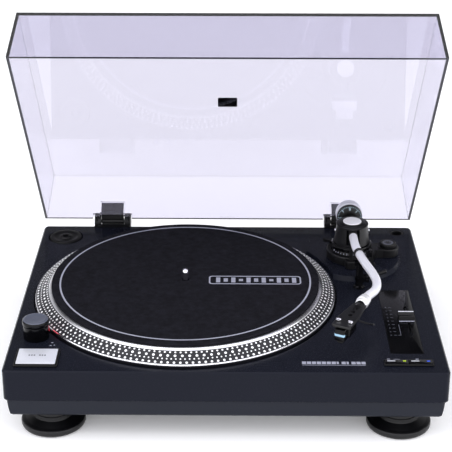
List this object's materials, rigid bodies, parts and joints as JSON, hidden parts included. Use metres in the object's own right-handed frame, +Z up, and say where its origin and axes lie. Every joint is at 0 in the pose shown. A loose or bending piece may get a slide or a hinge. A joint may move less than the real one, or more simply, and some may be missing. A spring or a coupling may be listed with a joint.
{
  "type": "turntable record player",
  "caption": "Black turntable with a dotted aluminium platter, felt mat, S-shaped tonearm, pitch slider, push buttons and a raised smoke-tinted dust cover.",
  "frame": {"origin": "middle of the footprint of the bounding box, on the surface that the feet stand on", "axes": "+X to the player's right, +Y to its rear, where the cover's hinges are, +Z up"},
  "size_m": [0.45, 0.3964, 0.3986],
  "materials": {
    "satin_black": "satin",
    "tray_black": "satin",
    "matt_black": "matt",
    "gloss_black": "polished",
    "foot_rubber": "matt",
    "felt": "felted",
    "aluminium": "turned",
    "chrome": "polished",
    "tube_silver": "satin",
    "silver_paint": "satin",
    "silver_plastic": "satin",
    "steel": "brushed",
    "brass": "turned",
    "smoked_acrylic": "polished",
    "red_lens": "polished",
    "black_metal": "satin",
    "circuit": "satin"
  },
  "bodies": {
    "base": {"plinth_housing": "satin_black", "base_tray": "tray_black", "foot_front_left": "foot_rubber", "foot_front_right": "foot_rubber", "foot_rear_left": "foot_rubber", "foot_rear_right": "foot_rubber", "motor_can": "steel", "drive_belt": "foot_rubber", "bearing_housing": "brass", "circuit_board": "circuit", "pitch_fader": "steel", "pitch_panel": "gloss_black", "spare_headshell_socket": "matt_black", "blanking_plate": "satin_black", "light_blank": "satin_black", "strobe_housing": "gloss_black", "strobe_lens": "red_lens", "start_stop_frame": "matt_black", "speed_button_frame": "matt_black", "arm_base": "matt_black", "arm_rest": "matt_black", "hinge_bracket_left": "matt_black", "hinge_bracket_right": "matt_black", "audio_jack_plate": "chrome", "ground_post": "chrome", "power_inlet": "gloss_black"},
    "turning_platter": {"platter": "aluminium", "spindle": "chrome"},
    "mat": {"slipmat": "felt"},
    "motor_rotor": {"motor_pulley": "brass"},
    "cover_leaves": {"hinge_leaf_left": "matt_black", "hinge_leaf_right": "matt_black"},
    "cover": {"dust_cover": "smoked_acrylic", "cover_badge": "matt_black"},
    "knob": {"power_knob": "satin_black"},
    "start_key": {"start_stop_button": "silver_plastic"},
    "speed_key_33": {"speed_button_33": "gloss_black"},
    "speed_key_45": {"speed_button_45": "gloss_black"},
    "slider": {"pitch_slider": "matt_black"},
    "adapter": {"adapter_45": "matt_black"},
    "pillar": {"arm_pillar": "steel"},
    "ring": {"height_ring": "gloss_black"},
    "yoke": {"arm_housing": "matt_black", "pivot_cap": "aluminium"},
    "arm": {"arm_tube": "tube_silver", "tube_sleeve": "foot_rubber"},
    "weight": {"counterweight": "silver_paint"},
    "dial": {"force_dial": "gloss_black"},
    "collar": {"locking_collar": "chrome"},
    "shell": {"headshell": "matt_black", "cartridge_screw_left": "chrome", "cartridge_screw_right": "chrome", "finger_lift": "matt_black", "cartridge": "gloss_black", "stylus": "gloss_black"},
    "clip": {"arm_clip": "matt_black"},
    "lever": {"cue_lever": "black_metal"},
    "lift": {"cue_lift": "matt_black"},
    "antiskate": {"antiskate_dial": "matt_black"},
    "lock": {"arm_lock_lever": "gloss_black"}
  },
  "joints": [
    {"name": "platter_spin", "type": "hinge", "parent": "base", "child": "turning_platter", "pos_m": [-0.0457, -0.02521, 0.0821], "axis": [0, 0, 1], "continuous": true},
    {"name": "slipmat_slip", "type": "hinge", "parent": "turning_platter", "child": "mat", "pos_m": [-0.0457, -0.02521, 0.0964], "axis": [0, 0, 1], "continuous": true},
    {"name": "motor_spin", "type": "hinge", "parent": "base", "child": "motor_rotor", "pos_m": [-0.16598, 0.01857, 0.0821], "axis": [0, 0, 1], "continuous": true},
    {"name": "cover_hinge", "type": "hinge", "parent": "base", "child": "cover_leaves", "pos_m": [0, 0.16259, 0.0848], "axis": [-1, 0, 0], "range_deg": [-52.2, 8]},
    {"name": "cover_lift_off", "type": "slide", "parent": "cover_leaves", "child": "cover", "axis": [0, 0.7902, 0.6129], "range_m": [0, 0.025]},
    {"name": "power_knob_turn", "type": "hinge", "parent": "base", "child": "knob", "pos_m": [-0.1985, -0.12721, 0.0981], "axis": [0, 0, 1], "range_deg": [0, 40]},
    {"name": "start_stop_press", "type": "slide", "parent": "base", "child": "start_key", "axis": [0, 0, -1], "range_m": [0, 0.0015], "stiffness_N_per_m": 300, "springref_m": -0.001},
    {"name": "speed_33_press", "type": "slide", "parent": "base", "child": "speed_key_33", "axis": [0, 0, -1], "range_m": [0, 0.0012], "stiffness_N_per_m": 300, "springref_m": -0.001},
    {"name": "speed_45_press", "type": "slide", "parent": "base", "child": "speed_key_45", "axis": [0, 0, -1], "range_m": [0, 0.0012], "stiffness_N_per_m": 300, "springref_m": -0.001},
    {"name": "pitch_slide", "type": "slide", "parent": "base", "child": "slider", "axis": [0, 1, 0], "range_m": [-0.034, 0.027]},
    {"name": "adapter_lift", "type": "slide", "parent": "base", "child": "adapter", "axis": [0, 0, 1], "range_m": [0, 0.025]},
    {"name": "arm_height", "type": "slide", "parent": "base", "child": "pillar", "axis": [0, 0, 1], "range_m": [0, 0.005]},
    {"name": "height_ring_turn", "type": "hinge", "parent": "base", "child": "ring", "pos_m": [0.1445, 0.05979, 0.0984], "axis": [0, 0, 1], "range_deg": [0, 60]},
    {"name": "arm_swing", "type": "hinge", "parent": "pillar", "child": "yoke", "pos_m": [0.1445, 0.05979, 0.1211], "axis": [0, 0, -1], "range_deg": [0, 46]},
    {"name": "arm_tilt", "type": "hinge", "parent": "yoke", "child": "arm", "pos_m": [0.1445, 0.05979, 0.1211], "axis": [-1, 0, 0], "range_deg": [-0.6, 5]},
    {"name": "counterweight_slide", "type": "slide", "parent": "arm", "child": "weight", "axis": [0, 1, 0], "range_m": [0, 0.005]},
    {"name": "force_dial_turn", "type": "hinge", "parent": "weight", "child": "dial", "pos_m": [0.1445, 0.09679, 0.1211], "axis": [0, 1, 0], "range_deg": [0, 360]},
    {"name": "collar_turn", "type": "hinge", "parent": "arm", "child": "collar", "pos_m": [0.1443, -0.11471, 0.1211], "axis": [-0.4384, -0.8988, 0], "range_deg": [0, 60]},
    {"name": "headshell_pull", "type": "slide", "parent": "arm", "child": "shell", "axis": [-0.4384, -0.8988, 0], "range_m": [0, 0.01]},
    {"name": "arm_clip_turn", "type": "hinge", "parent": "base", "child": "clip", "pos_m": [0.1593, -0.00921, 0.1276], "axis": [0, -1, 0], "range_deg": [0, 250]},
    {"name": "cue_lever_turn", "type": "hinge", "parent": "base", "child": "lever", "pos_m": [0.1562, -0.01621, 0.0971], "axis": [0, -1, 0], "range_deg": [0, 35]},
    {"name": "cue_lift_rise", "type": "slide", "parent": "base", "child": "lift", "axis": [0, 0, 1], "range_m": [0, 0.0032]},
    {"name": "antiskate_turn", "type": "hinge", "parent": "base", "child": "antiskate", "pos_m": [0.1875, 0.06579, 0.0984], "axis": [0, 0, 1], "range_deg": [0, 270]},
    {"name": "arm_lock_turn", "type": "hinge", "parent": "base", "child": "lock", "pos_m": [0.1217, 0.07349, 0.0984], "axis": [0, 0, 1], "range_deg": [-20, 20]}
  ],
  "couplings": [
    {"joint": "motor_spin", "follows": "platter_spin", "ratio": 16.167},
    {"joint": "height_ring_turn", "follows": "arm_height", "rad_per_m": 209.44},
    {"joint": "force_dial_turn", "follows": "counterweight_slide", "rad_per_m": 1256.6},
    {"joint": "cue_lift_rise", "follows": "cue_lever_turn", "m_per_rad": 0.0052385}
  ]
}
